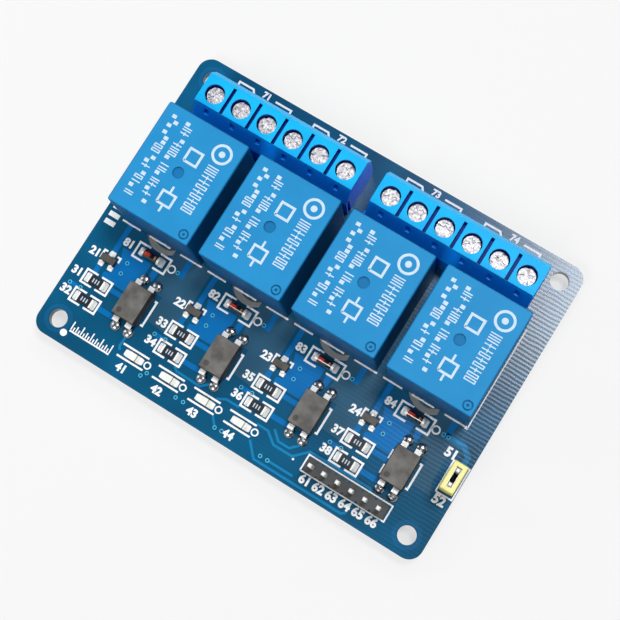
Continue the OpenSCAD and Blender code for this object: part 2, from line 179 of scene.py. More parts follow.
# %% Camera
SENSOR_MM, LENS_MM = 36, 78.16
TURNS = (10.0, 4.09, 31.86)
AIM = Vector((1.44, -1.15, TOP))
DISTANCE_MM = 225.9
camera_data = bpy.data.cameras.new("camera")
camera_data.sensor_width = SENSOR_MM
camera_data.lens = LENS_MM
camera_data.clip_start = 0.01
camera = bpy.data.objects.new("camera", camera_data)
bpy.context.scene.collection.objects.link(camera)
camera.rotation_euler = [math.radians(a) for a in TURNS]
camera.location = (AIM + camera.rotation_euler.to_matrix() @ Vector((0, 0, DISTANCE_MM))) * MM
bpy.context.scene.camera = camera
print("camera at", [round(c / MM, 1) for c in camera.location], "mm")

# %% [markdown]
# ## Light
#
# Soft lamps stand round the board, and the space straight above it stays dark: a
# lacquered board mirrors whatever hangs there, and would turn pale all over. Only
# the small panel behind the right end is mirrored, as the sheen on that edge. Each
# lamp's power comes from its share of the plain light, at which white just looks
# white.

# %% Lamps and world
WORLD_SHARE = 0.07


def panel(name, place_mm, size_mm, share, wide=1.0):
    """A soft panel aimed at the board, giving it a share of plain light. That takes
    (pi * distance) squared watts, and more where the light comes in at a slant."""
    place = Vector(place_mm) * MM
    distance = place.length
    data = bpy.data.lights.new(name, "AREA")
    data.shape = "ELLIPSE"
    data.size = size_mm * wide * MM
    data.size_y = size_mm * MM
    data.energy = share * (math.pi * distance) ** 2 * distance / place.z
    lamp = bpy.data.objects.new(name, data)
    bpy.context.scene.collection.objects.link(lamp)
    lamp.location = place
    lamp.rotation_euler = (-place).to_track_quat("-Z", "Y").to_euler()
    print(f"{name}: {data.energy:.2f} W at {distance:.2f} m")


panel("back_window", (-160, 640, 620), 340, 0.18, wide=2.6)
panel("sheen_panel", (86, 186, 600), 150, 0.48)
panel("left_lamp", (-190, -20, 160), 100, 0.1)
panel("front_lamp", (-40, -360, 560), 260, 0.32)

world = bpy.data.worlds.new("studio")
bpy.context.scene.world = world
world.use_nodes = True
background = world.node_tree.nodes["Background"]
background.inputs["Color"].default_value = rgb("#FFFFFF")
background.inputs["Strength"].default_value = WORLD_SHARE
bpy.context.scene.view_settings.view_transform = "Standard"

# %% [markdown]
# ## Floor
#
# The board lies on pale paper. A plane would do from above, but a low view would look
# past its end, so the sheet curls up far away, as a studio backdrop does. Part of
# its light is its own, seen by the camera and in mirrors and glass only, so it stays
# even and still shows the shadow under the board.

# %% Sheet of paper
# Each pair is a distance from the centre and a height above the table, in metres.
CURL = [(0.5, 0.0), (1.2, 0.0), (2.2, 0.0), (2.6, 0.06), (2.9, 0.25), (3.05, 0.6), (3.1, 2.0)]
AROUND = 64
floor_mesh = bpy.data.meshes.new("floor")
points = [
    (r * math.cos(math.tau * k / AROUND), r * math.sin(math.tau * k / AROUND), z)
    for r, z in CURL for k in range(AROUND)
]
sheet = [tuple(range(AROUND))]
for ring_start in range(0, AROUND * (len(CURL) - 1), AROUND):
    for k in range(AROUND):
        a, b = ring_start + k, ring_start + (k + 1) % AROUND
        sheet.append((a, a + AROUND, b + AROUND, b))
floor_mesh.from_pydata(points, [], sheet)
floor = bpy.data.objects.new("floor", floor_mesh)
bpy.context.scene.collection.objects.link(floor)
print("paper:", len(sheet), "faces, flat to", CURL[2][0], "m")

# %% Paper, with a light of its own
PAPER = "#F6F6F6"
OWN_SHARE = 0.8
# Below the board the paper lies in shadow, so its own light ends there: in part from
# just inside the board's edge, and nearly all further in. Each row is half a length
# and half a width in millimetres, the width of the change, and what is left inside.
SHADED = [(35.4, 25.4, 2.4, 0.8), (32, 20, 3, 0.17)]
paper = bpy.data.materials.new("paper_backdrop")
paper.use_nodes = True
tree = paper.node_tree
tree.nodes.clear()
rays = add(tree, "LightPath").outputs
seen = rays["Is Camera Ray"]
for ray in ("Is Glossy Ray", "Is Transmission Ray"):
    seen = add(tree, "Math", {"operation": "MAXIMUM"}, _0=seen, _1=rays[ray]).outputs[0]
place = add(tree, "SeparateXYZ", None, Vector=add(tree, "TexCoord").outputs["Object"]).outputs
for half_x, half_y, fade, left_over in SHADED:
    outside = []
    for axis, half_mm in (("X", half_x), ("Y", half_y)):
        away = add(tree, "Math", {"operation": "ABSOLUTE"}, _0=place[axis])
        edge = {"From Min": half_mm * MM, "From Max": (half_mm + fade) * MM}
        edge["interpolation_type"] = "SMOOTHSTEP"
        outside.append(add(tree, "MapRange", edge, Value=away.outputs[0]).outputs["Result"])
    clear = add(tree, "Math", {"operation": "MAXIMUM"}, _0=outside[0], _1=outside[1])
    clear = add(tree, "MapRange", {"To Min": left_over}, Value=clear.outputs[0])
    seen = add(tree, "Math", {"operation": "MULTIPLY"}, _0=seen, _1=clear.outputs[0]).outputs[0]
share = add(tree, "Math", {"operation": "MULTIPLY", 1: OWN_SHARE}, _0=seen)
lit = add(tree, "BsdfDiffuse", {"Color": rgb(PAPER)})
own = add(tree, "Emission", {"Color": rgb(PAPER)})
both = add(tree, "MixShader", None, Fac=share.outputs[0], _1=lit.outputs[0], _2=own.outputs[0])
add(tree, "OutputMaterial", None, Surface=both.outputs[0])
floor_mesh.materials.append(paper)
floor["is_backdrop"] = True
print("paper gives", OWN_SHARE, "of its own light away from the board")

# %% [markdown]
# ## Lacquered glass-epoxy laminate
#
# The board is glass cloth in epoxy resin, 1.6 mm thick. Blue solder lacquer is cured
# over both faces, glossy but not flat: the cloth below prints through as fine
# ripples. The sawn edge has no lacquer and shows the greenish resin, darkened as
# painted shade for the insides of the holes. A wave texture gives the ripples their
# one direction, which noise would not.

# %% Board materials
# The cloth's threads run along the board, 0.45 mm apart. They are drawn 0.7 mm apart,
# so that they show from further away. A wave texture has one band in 0.314 units.
THREAD_MM, RIPPLE_MM = 0.7, 0.0095
WAVE_BAND = 0.314
PATCH_MM = 9.0


def lacquer(name, light, dark):
    """Solder lacquer: a smooth epoxy film, dielectric, slightly uneven in depth."""
    material, tree, shader = start(name, Roughness=0.21, IOR=1.5, Specular_IOR_Level=0.38)
    place = add(tree, "TexCoord").outputs["Object"]
    patches = add(tree, "TexNoise", {"Scale": scale_for(PATCH_MM), "Detail": 2.0}, Vector=place)
    depth = {"stops": [(0.3, dark), (0.7, light)]}
    film = add(tree, "ValToRGB", depth, Fac=patches.outputs["Fac"])
    cloth = {"bands_direction": "Y", "Scale": WAVE_BAND / (THREAD_MM * MM), "Distortion": 1.4, "Detail": 0.0}
    threads = add(tree, "TexWave", cloth, Vector=place)
    relief = {"Strength": 0.6, "Distance": RIPPLE_MM * MM}
    ripples = add(tree, "Bump", relief, Height=threads.outputs["Fac"])
    tree.links.new(ripples.outputs["Normal"], shader.inputs["Normal"])
    tree.links.new(film.outputs["Color"], shader.inputs["Base Color"])
    return material


def laminate():
    """Lacquer on the two faces and bare resin on every cut edge, told apart by the
    direction that the surface faces. The resin is drawn darker than it is, as painted
    shade for the insides of the holes."""
    material = lacquer("blue_lacquer_on_glass_epoxy", "#045A82", "#044C6E")
    tree = material.node_tree
    base = tree.nodes["Principled BSDF"].inputs["Base Color"]
    resin_and_shade_edge = {"data_type": "RGBA", 6: rgb("#2E4E4A")}
    colour = add(tree, "Mix", resin_and_shade_edge, Factor=facing(tree), _7=base.links[0].from_socket)
    tree.links.new(colour.outputs[2], base)
    return material


# The same film looks deep blue over resin and copper below, bright over copper, grey
# where light comes through bare resin, and paler on the rounded edge of a line.
LAMINATE = laminate()
OVER_COPPER = lacquer("blue_lacquer_over_copper", "#0374BC", "#036AAE")
OVER_RESIN = lacquer("blue_lacquer_over_bare_resin", "#305F7C", "#285572")
OVER_TRACE = lacquer("blue_lacquer_on_trace_edges", "#1383B8", "#0E74AA")
OVER_HOLE_RING = lacquer("blue_lacquer_on_hole_rings", "#10618F", "#0C547E")
print("lacquer: ripples", THREAD_MM, "mm apart and", RIPPLE_MM, "mm high")

# %% [markdown]
# ## Plastics
#
# The relay covers are polyester, moulded in a spark-eroded tool, so their tops have
# a fine satin grain. The terminals are glass-filled nylon: deeper, brighter blue. The
# header strips are nylon in black, and the link's cap is polyester in yellow.
# Tops and walls could have materials of their own, but then faces would have to be
# picked one by one. Instead, one recipe mixes two colours by where the surface lies;
# the darker wall colour is painted shade.

# %% Moulded plastic
SOFT_EDGE_MM = 0.12


def moulded(
    name, colour, shade, side, roughness,
    grain_mm=0.12, depth_mm=0.004, top=facing, cloud_mm=6.0, specular=0.28,
):
    """Moulded plastic: dielectric, with the tool's grain as a very low bump. The
    walls get the deeper side colour as painted shade, for the weaker light that
    falls on them. top says where the surface counts as top."""
    material, tree, shader = start(name, Roughness=roughness, IOR=1.5, Specular_IOR_Level=specular)
    place = add(tree, "TexCoord").outputs["Object"]
    clouds = add(tree, "TexNoise", {"Scale": scale_for(cloud_mm), "Detail": 2.0}, Vector=place)
    tones = {"stops": [(0.35, shade), (0.65, colour)]}
    face = add(tree, "ValToRGB", tones, Fac=clouds.outputs["Fac"]).outputs["Color"]
    up = top(tree)
    # side is painted shade: it colours every face that does not count as top.
    lit_top_or_shaded_wall = add(tree, "Mix", {"data_type": "RGBA", 6: rgb(side)}, Factor=up, _7=face)
    tree.links.new(lit_top_or_shaded_wall.outputs[2], shader.inputs["Base Color"])
    soft = add(tree, "Bevel", {"Radius": SOFT_EDGE_MM * MM}).outputs["Normal"]
    pits = add(tree, "TexNoise", {"Scale": scale_for(grain_mm), "Detail": 3.0}, Vector=place)
    grains = add(tree, "Math", {"operation": "MULTIPLY"}, _0=pits.outputs["Fac"], _1=up)
    low_bump = {"Strength": 0.5, "Distance": depth_mm * MM}
    skin = add(tree, "Bump", low_bump, Height=grains.outputs[0], Normal=soft)
    tree.links.new(skin.outputs["Normal"], shader.inputs["Normal"])
    return material


print("every moulded edge looks rounded by", SOFT_EDGE_MM, "mm")

# %% Where a surface counts as top
# Millimetres below the top at which a face begins to count as part of a sunk mark, and
# at which it does so wholly. The floors of the marks take part of the wall colour as
# painted shade.
MARK_TOP, MARK_FLOOR = 0.06, 0.12


def within(tree, value, from_mm, to_mm):
    """1 where a coordinate lies between two places, 0 outside them."""
    middle, half = (from_mm + to_mm) / 2, (to_mm - from_mm) / 2
    away = add(tree, "Math", {"operation": "SUBTRACT", 1: middle * MM}, _0=value)
    size = add(tree, "Math", {"operation": "ABSOLUTE"}, _0=away.outputs[0])
    return add(tree, "Math", {"operation": "LESS_THAN", 1: half * MM}, _0=size.outputs[0]).outputs[0]


def top_face(node, floor_share):
    """The top face of a node; the floors of the marks sunk in it count in part, and
    the rest of their colour is the walls' painted shade.
    """
    top_z = spot(node)[1].z

    def mask(tree):
        place = add(tree, "SeparateXYZ", None, Vector=add(tree, "TexCoord").outputs["Object"])
        edge = {"From Min": (top_z - MARK_FLOOR) * MM, "From Max": (top_z - MARK_TOP) * MM}
        edge["To Min"] = floor_share
        level = add(tree, "MapRange", edge, Value=place.outputs["Z"])
        both = add(tree, "Math", {"operation": "MULTIPLY"}, _0=level.outputs["Result"], _1=facing(tree))
        return both.outputs[0]

    return mask


print("relay tops at", round(relays[0][1].z, 2), "mm")

# %% Nylon of the terminals
# All are in millimetres from the housing's box. What lies deeper than SKIN is no top,
# and a mask reaches a little past the box, so that it misses no edge.
block_low, block_high, _ = spot("terminal_housing_1")
SKIN, REACH = 0.15, 0.2
CHAMFER_Y, CHAMFER_WAY = 1.1, (0, 0.55, 0.835)
# WELL_DEPTH and the three wall widths bound the grooves and wells where painted shade goes.
WELL_DEPTH = 3.2
FRONT_WALL, BACK_WALL, END_WALL = 1.75, 1.15, 0.8


def block_top(tree):
    """The terminal's top face and its chamfer above the wires: these take the bright top
    colour, and every other face takes the deeper side colour as painted shade.
    """
    place = add(tree, "SeparateXYZ", None, Vector=add(tree, "TexCoord").outputs["Object"]).outputs
    at_top = within(tree, place["Z"], block_high.z - SKIN, block_high.z + REACH)
    at_back = within(tree, place["Y"], block_high.y - CHAMFER_Y, block_high.y + REACH)
    slanting = facing(tree, CHAMFER_WAY)
    chamfer = add(tree, "Math", {"operation": "MULTIPLY"}, _0=at_back, _1=slanting)
    return add(tree, "Math", {"operation": "MAXIMUM"}, _0=at_top, _1=chamfer.outputs[0]).outputs[0]


def nylon():
    """The terminals' nylon, with dark navy painted down in the grooves and screw wells
    as painted shade."""
    material = moulded(
        "azure_nylon_terminal", "#16B8F8", "#12AEF0", "#0A8EFF", 0.38,
        grain_mm=0.2, top=block_top, specular=0.08,
    )
    tree = material.node_tree
    base = tree.nodes["Principled BSDF"].inputs["Base Color"]
    place = add(tree, "SeparateXYZ", None, Vector=add(tree, "TexCoord").outputs["Object"]).outputs
    sideways = add(tree, "Math", {"operation": "ABSOLUTE"}, _0=place["X"]).outputs[0]
    recess_shade = within(tree, place["Z"], block_high.z - WELL_DEPTH, block_high.z - SKIN)
    inside = (
        (place["Y"], block_low.y + FRONT_WALL, block_high.y - BACK_WALL),
        (sideways, abs(block_high.x) + REACH, abs(block_low.x) - END_WALL),
    )
    for value, from_mm, to_mm in inside:
        part = within(tree, value, from_mm, to_mm)
        recess_shade = add(tree, "Math", {"operation": "MULTIPLY"}, _0=recess_shade, _1=part).outputs[0]
    # Dark navy is painted into the grooves and wells as shade.
    dark = {"data_type": "RGBA", 7: rgb("#022E8C")}
    colour = add(tree, "Mix", dark, Factor=recess_shade, _6=base.links[0].from_socket)
    tree.links.new(colour.outputs[2], base)
    return material


TERMINAL_BLUE = nylon()
print("terminal tops at", round(block_high.z, 2), "mm")

# %% The other plastics
# Polyester: a satin sky blue, with no gloss on its walls, over a base that is nearly
# lost in the covers' shadow. The walls' deeper blue is painted shade.
RELAY_BLUE = moulded(
    "blue_polyester_cover", "#288FCA", "#268AC4", "#0A5C94", 0.44,
    top=top_face("relay_cover_1", 0.4), specular=0.08,
)
# The base is a dark blue polyester; its walls are painted a little darker, as painted shade.
RELAY_BASE = moulded("dark_blue_polyester_base", "#14283E", "#10202F", "#0C1A28", 0.5)
# Black nylon reads as dark grey on top; its notched sides are painted nearly black,
# as painted shade.
BLACK_NYLON = moulded("black_nylon_header", "#484A4B", "#3C3D3E", "#1C1C1E", 0.4)
# The cap's pale lemon top and deeper yellow walls are lit and shaded copies of one
# yellow: a painted highlight on top and painted shade on the walls.
CAP_YELLOW = moulded("yellow_polyester_cap", "#F5F1A6", "#EFEB9A", "#CCC612", 0.35)
# Epoxy filled with silica powder: a dull warm grey, finely mottled. Its walls are
# painted near black, and the floors of its sunk marks mostly so, as painted shade.
MOULD_GREY = moulded(
    "epoxy_moulding_compound", "#74726E", "#54524F", "#2A2826", 0.5,
    0.08, 0.006, top_face("optocoupler_1", 0.15), 2.4,
)
# The transistor's darker compound; its walls are painted darker, as painted shade.
MOULD_DARK = moulded(
    "epoxy_moulding_compound_dark", "#5C5854", "#4A4744", "#22201E", 0.5, 0.08, 0.006, cloud_mm=2.0,
)
# Clear epoxy over a white housing: milky, with a soft gloss. Its walls are painted
# greyer, as painted shade.
LAMP = moulded("clear_epoxy_lamp", "#F8F8F2", "#ECEEE4", "#B8BAB0", 0.25)
plastics = (TERMINAL_BLUE, RELAY_BLUE, RELAY_BASE, BLACK_NYLON, CAP_YELLOW, MOULD_GREY, MOULD_DARK, LAMP)
print("plastics:", [plastic.name for plastic in plastics])

# %% [markdown]
# ## Metals
#
# Screws and cages are zinc-plated steel with small dents from the plating drum. Pins
# and leads are tinned. Solder is mostly tin, dull at the chips and bright on the
# round joints. A plain mirror would look like glass here, so a soft unevenness
# breaks every reflection.

# %% Metal materials


def metal(name, light, dark, roughness, lump_mm, depth_mm, metallic=1.0):
    """Plated metal with lumps of about lump_mm. Matte tin scatters much of its light
    from tiny crystals, so it is only partly metallic here."""
    material, tree, shader = start(name, Metallic=metallic, Roughness=roughness)
    place = add(tree, "TexCoord").outputs["Object"]
    noise = {"Scale": scale_for(lump_mm), "Detail": 3.0}
    lumps = add(tree, "TexNoise", noise, Vector=place).outputs["Fac"]
    tone = add(tree, "ValToRGB", {"stops": [(0.3, dark), (0.7, light)]}, Fac=lumps)
    tree.links.new(tone.outputs["Color"], shader.inputs["Base Color"])
    dents = add(tree, "Bump", {"Strength": 0.7, "Distance": depth_mm * MM}, Height=lumps)
    tree.links.new(dents.outputs["Normal"], shader.inputs["Normal"])
    return material


# Zinc sparkles in patches, tin and the solder at the chips are an even pale silver,
# and the round joints are a darker mirror.
ZINC = metal("zinc_plated_steel", "#FAF8FC", "#8A888C", 0.48, 0.45, 0.12, 0.5)
TIN = metal("matte_tinned_brass", "#FCFCFA", "#F0F0EE", 0.42, 0.5, 0.04, 0.25)
SOLDER = metal("matte_tin_solder", "#FFFFFE", "#F4F4F2", 0.36, 0.6, 0.08, 0.15)
BRIGHT_SOLDER = metal("bright_tin_solder", "#B0B4B8", "#84888C", 0.27, 0.6, 0.03)
print("metals:", [plating.name for plating in (ZINC, TIN, SOLDER, BRIGHT_SOLDER)])

# %% [markdown]
# ## Glass and ceramic
#
# The diode is a sealed glass tube: a copper-red stud and a dark chip show through
# it. Clear glass with parts inside would be the full way, but at this size it turns
# to noise, so the parts are drawn on the tube as they look through it. A chip
# resistor is a ceramic block with black glaze and a tinned band at both ends.

# %% Glass diode and chip resistor
# Generated coordinates go from 0 to 1 along the piece's own box, so one recipe fits
# every copy of it.


def diode_glass():
    """Glass tube: along it a copper-red stud, the dark chip and a pale stud, seen as
    a narrow core. The black towards its two sides is painted shade, for the dark that
    curved glass shows there. The coat is the outer surface of the glass, with its
    sharp highlight."""
    material, tree, shader = start("glass_diode", Roughness=0.08, IOR=1.52, Coat_Weight=1.0)
    studs = [
        (0.0, "#2A100C"), (0.06, "#F0523A"), (0.4, "#D83A1E"), (0.5, "#3A1008"), (0.56, "#120C0A"),
        (0.74, "#120C0A"), (0.8, "#C8A070"), (0.9, "#5A4030"), (1.0, "#120C0A"),
    ]
    # These stops across the tube paint shade along its two sides.
    width = [(0.22, "#000000"), (0.34, "#FFFFFF"), (0.68, "#FFFFFF"), (0.8, "#000000")]
    along = add(tree, "SeparateXYZ", None, Vector=add(tree, "TexCoord").outputs["Generated"]).outputs
    core = add(tree, "ValToRGB", {"stops": studs}, Fac=along["X"]).outputs["Color"]
    across = add(tree, "ValToRGB", {"stops": width}, Fac=along["Y"]).outputs["Color"]
    colour = add(tree, "Mix", {"data_type": "RGBA", 6: rgb("#140D0C")}, Factor=across, _7=core)
    tree.links.new(colour.outputs[2], shader.inputs["Base Color"])
    return material


def chip():
    """A ceramic chip: black glaze in the middle and a tinned band at both ends. The
    dark at the very ends is painted shade on the chip's upright end faces.
    """
    material, tree, shader = start("glazed_chip_resistor", Roughness=0.3, IOR=1.5)
    dark, tin = "#222226", "#FCFCFA"
    bands = [
        (0.0, dark), (0.035, tin), (0.13, tin), (0.14, dark),
        (0.86, dark), (0.87, tin), (0.965, tin), (1.0, dark),
    ]
    along = add(tree, "SeparateXYZ", None, Vector=add(tree, "TexCoord").outputs["Generated"]).outputs
    colour = add(tree, "ValToRGB", {"stops": bands}, Fac=along["X"])
    tree.links.new(colour.outputs["Color"], shader.inputs["Base Color"])
    return material


DIODE_GLASS = diode_glass()
CHIP = chip()
print("glass and ceramic:", DIODE_GLASS.name, "and", CHIP.name)

# %% [markdown]
# ## Inks
#
# The lines on the board are screen-printed epoxy ink, an opaque matte white film.
# The print on the relays is thinner, and the blue below tints it. Paint on a texture
# could carry both, but here the print is real thin geometry, so the ink is plain.

# %% Ink materials
SPOT_MM = 0.7
GRIT_MM, GRIT_DEPTH_MM = 0.15, 0.003


def printed(name, full, thin):
    """Printed ink: an opaque matte film, a little thinner in places."""
    material, tree, shader = start(name, Roughness=0.5, IOR=1.5, Specular_IOR_Level=0.3)
    place = add(tree, "TexCoord").outputs["Object"]
    spots = add(tree, "TexNoise", {"Scale": scale_for(SPOT_MM), "Detail": 3.0}, Vector=place)
    film = add(tree, "ValToRGB", {"stops": [(0.3, thin), (0.7, full)]}, Fac=spots.outputs["Fac"])
    tree.links.new(film.outputs["Color"], shader.inputs["Base Color"])
    grit = add(tree, "TexNoise", {"Scale": scale_for(GRIT_MM), "Detail": 2.0}, Vector=place)
    relief = {"Strength": 0.4, "Distance": GRIT_DEPTH_MM * MM}
    rough = add(tree, "Bump", relief, Height=grit.outputs["Fac"])
    tree.links.new(rough.outputs["Normal"], shader.inputs["Normal"])
    return material


INK = printed("white_epoxy_ink", "#FEFFFF", "#F2F6F8")
PAD_INK = printed("white_pad_print", "#CCE0F0", "#BCD6EA")
print("inks:", INK.name, "and", PAD_INK.name)

# %% [markdown]
# ## Finish of the CAD nodes
#
# Nodes that repeat share one finish, so the table below has one row for each kind of
# part. A node's own name is looked up first, and then its name without the number.

# %% Finish of every CAD node
FINISH = {
    "circuit_board": LAMINATE,
    "relay_cover": RELAY_BLUE,
    "relay_base": RELAY_BASE,
    "relay_pins": TIN,
    "terminal_housing": TERMINAL_BLUE,
    "terminal_screws": ZINC,
    "terminal_cages": ZINC,
    "terminal_contacts": TIN,
    "optocoupler": MOULD_GREY,
    "optocoupler_leads": TIN,
    "transistor": MOULD_DARK,
    "transistor_leads": TIN,
    "diode": DIODE_GLASS,
    "diode_caps": TIN,
    "lamp": LAMP,
    "resistor": CHIP,
    "input_header": BLACK_NYLON,
    "input_pins": TIN,
    "link_header": BLACK_NYLON,
    "link_pins": TIN,
    "link_cap": CAP_YELLOW,
    "link_clip": TIN,
    "solder_joints": SOLDER,
}


def kind_of(node):
    """relay_cover_1 is a relay_cover."""
    return node if node in FINISH else node.rsplit("_", 1)[0]


for name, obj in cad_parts.items():
    obj.data.materials.clear()
    obj.data.materials.append(FINISH[kind_of(name)])
print("finished", len(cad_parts), "nodes with", len(set(FINISH.values())), "materials")

# %% [markdown]
# ## Flat shapes
#
# Ink and copper are flat shapes a few hundredths of a millimetre thick. They could be
# masks in the board's material, but solids keep a line sharp and catch the light at
# its edge. Each is drawn as a patch of 2D faces, and one function raises a list of
# patches into closed solids. Lines are ribbons with mitred corners, so a bracket is
# one shape and not two bars that cross.

# %% Patches: bars, discs, rings and ribbons


def bar(x0, y0, x1, y1):
    """A patch is a list of faces, and a face is a list of points: here just one."""
    return [[(x0, y0), (x1, y0), (x1, y1), (x0, y1)]]


def circle_points(x, y, r, count):
    """Points round a circle. The last is the first again, to close a ring of faces."""
    turn = [math.radians(360 * k / count) for k in range(count + 1)]
    return [(x + r * math.cos(a), y + r * math.sin(a)) for a in turn]


def disc(x, y, r, count=24):
    return [circle_points(x, y, r, count)[:-1]]


def ring(x, y, outer, inner, count=28):
    out = circle_points(x, y, outer, count)
    ins = circle_points(x, y, inner, count)
    return [[ins[k], out[k], out[k + 1], ins[k + 1]] for k in range(count)]


def ribbon(points, width):
    """A line of the given width through the points, mitred at its corners."""
    pts = [Vector(p) for p in points]
    left, right = [], []
    for k, p in enumerate(pts):
        before = (p - pts[k - 1]).normalized() if k else None
        after = (pts[k + 1] - p).normalized() if k + 1 < len(pts) else None
        before, after = before or after, after or before
        normal = Vector((-(before + after).y, (before + after).x)).normalized()
        lean = max(0.3, normal.dot(Vector((-before.y, before.x))))
        left.append(tuple(p + normal * width / 2 / lean))
        right.append(tuple(p - normal * width / 2 / lean))
    return [[right[k], right[k + 1], left[k + 1], left[k]] for k in range(len(pts) - 1)]


def outline(x0, y0, x1, y1, width):
    """A closed line round a box."""
    return ribbon([(x0, y0), (x1, y0), (x1, y1), (x0, y1), (x0, y0)], width)


print("a ring of ink has", len(ring(0, 0, 1, 0.5)), "faces before it is raised")

# %% Raising patches into one closed mesh


def make(name, verts, faces, material, smooth=False):
    """A piece from points in millimetres. It rides on the board."""
    mesh = bpy.data.meshes.new(name)
    mesh.from_pydata([Vector(v) * MM for v in verts], [], faces)
    mesh.validate()
    mesh.materials.append(material)
    for polygon in mesh.polygons:
        polygon.use_smooth = smooth
    piece = bpy.data.objects.new(name, mesh)
    bpy.context.scene.collection.objects.link(piece)
    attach(piece, BOARD)
    print(f"{name}: {len(mesh.polygons)} faces")


def area(face):
    """Above 0 where the points run anticlockwise, so that the face looks up."""
    return sum(a[0] * b[1] - b[0] * a[1] for a, b in zip(face, face[1:] + face[:1])) / 2


def raised(name, patches, z0, z1, material):
    """Every patch becomes a solid from z0 up to z1. An edge that only one face of the
    patch has is its rim, and gets a wall."""
    verts, faces = [], []
    for patch in patches:
        index, edges = {}, {}
        for face in patch:
            face = [(round(x, 4), round(y, 4)) for x, y in face]
            face = face if area(face) > 0 else face[::-1]
            for p in face:
                if p not in index:
                    index[p] = len(verts)
                    verts.extend([(*p, z0), (*p, z1)])
            faces.append([index[p] + 1 for p in face])
            faces.append([index[p] for p in reversed(face)])
            for a, b in zip(face, face[1:] + face[:1]):
                edges[a, b] = True
        for a, b in edges:
            if (b, a) not in edges:
                faces.append([index[a], index[b], index[b] + 1, index[a] + 1])
    make(name, verts, faces, material)


print("a bar of 2 by 1 mm covers", area(bar(0, 0, 2, 1)[0]), "square mm")

# %% [markdown]
# ## Copper under the lacquer
#
# Where copper lies under the lacquer, the blue turns bright; where there is neither
# copper above nor below, the resin shows through and the blue turns grey. Both are
# drawn as low fields on the board, with the lacquer as their finish. Every channel
# has the same fields, so they are written once, counted from the relay's centre line
# and its front.

# %% Rings round the mounting holes
COPPER_T = 0.035
HOLE_X, HOLE_Y = 34.5, 24.5
hole_rings = [ring(x, y, 2.5, 1.8, 40) for x in (-HOLE_X, HOLE_X) for y in (-HOLE_Y, HOLE_Y)]
raised("hole_rings", hole_rings, TOP, TOP + COPPER_T, OVER_HOLE_RING)

# %% Fields of copper and bare resin
RESIN_T = 0.012


def placed(points, i):
    """Points of one channel, moved to channel i."""
    return [(RELAY_X[i] + x, FRONT + y) for x, y in points]


def channel_copper(i):
    """The bright fields of channel i: first those with slanting sides, then bars and
    wide lines."""
    fields = [
        [
            (-5.6, -4.1), (0.2, -4.1), (0.2, -6.6), (-0.5, -8.2), (-0.5, -10.5), (-6.1, -10.5),
            (-6.1, -9.3), (-5.0, -9.0), (-5.0, -5.6),
        ],
        [(0.85, -4.3), (0.95, -6.6), (1.9, -6.6), (2.1, -4.3)],
    ]
    fields += bar(-6.95, -5.8, -6.0, 1.5) + bar(-3.5, -11.85, -0.3, -10.95)
    fields += bar(-3.5, -15.65, 0.5, -14.75) + bar(-7.9, -10.3, -6.95, -9.0)
    wide_lines = [
        ribbon(placed([(-10.2, -13.85), (-8.0, -13.85)], i), 0.75),
        ribbon(placed([(4.9, -3.05), (5.75, -3.05), (5.75, 1.5)], i), 1.0),
    ]
    return [[placed(field, i)] for field in fields] + wide_lines


def channel_resin(i):
    """The bare field beside the relay's leads, cut short before the board's end."""
    edge = 9.9 if i < 3 else 7.4
    field = [
        (2.5, 0.4), (2.5, -8.0), (4.9, -8.0), (4.9, -12.6), (8.3, -12.9), (edge, -10.4), (edge, 0.4),
    ]
    return [placed(field, i)]


copper = [patch for i in range(4) for patch in channel_copper(i)]
resin = [channel_resin(i) for i in range(4)]
raised("copper_fields", copper, TOP, TOP + COPPER_T, OVER_COPPER)
raised("resin_fields", resin, TOP, TOP + RESIN_T, OVER_RESIN)

# %% [markdown]
# ## Traces and vias
#
# Copper lines join the lamps, the header and the input stages. They follow the few
# corners that a board designer sets. A via is a plated hole from face to face: the
# rim of copper shows as a pale ring, and the hole is too small to see anything in,
# so a dark disc is painted there as the shade inside it.

# %% Traces between the lamps, the header and the input stages
# Places are in millimetres, y counted from the board's front edge.
TRACE_W, SUPPLY_W = 0.42, 0.95
TRACES = [
    [(4.4, 3.2), (6.6, 0.8), (23.5, 0.8), (24.2, 1.3)],
    [(9.0, 1.8), (13.6, 1.8)],
    [(-3.0, 3.3), (-1.7, 1.8)],
    [(-4.0, 6.0), (-2.5, 6.8), (0.0, 6.8)],
    [(4.0, 6.0), (6.2, 6.0), (8.2, 4.5), (11.8, 4.5), (14.0, 6.7), (25.5, 6.8), (26.0, 6.3)],
    [(7.0, 6.8), (8.6, 5.4), (10.7, 5.4), (12.0, 6.7)],
    [(-6.3, 7.4), (-7.6, 6.3), (-12.2, 6.4), (-13.0, 6.9)],
    [(-22.8, 7.0), (-22.9, 5.0), (-22.5, 4.4)],
]
SUPPLY = [(31.6, -2.95), (35.0, -2.95), (36.5, -4.2), (36.5, -6.2)]
traces = [ribbon([(x, EDGE + y) for x, y in line], TRACE_W) for line in TRACES]
traces.append(ribbon([(x, FRONT + y) for x, y in SUPPLY], SUPPLY_W))
raised("traces", traces, TOP, TOP + COPPER_T, OVER_TRACE)

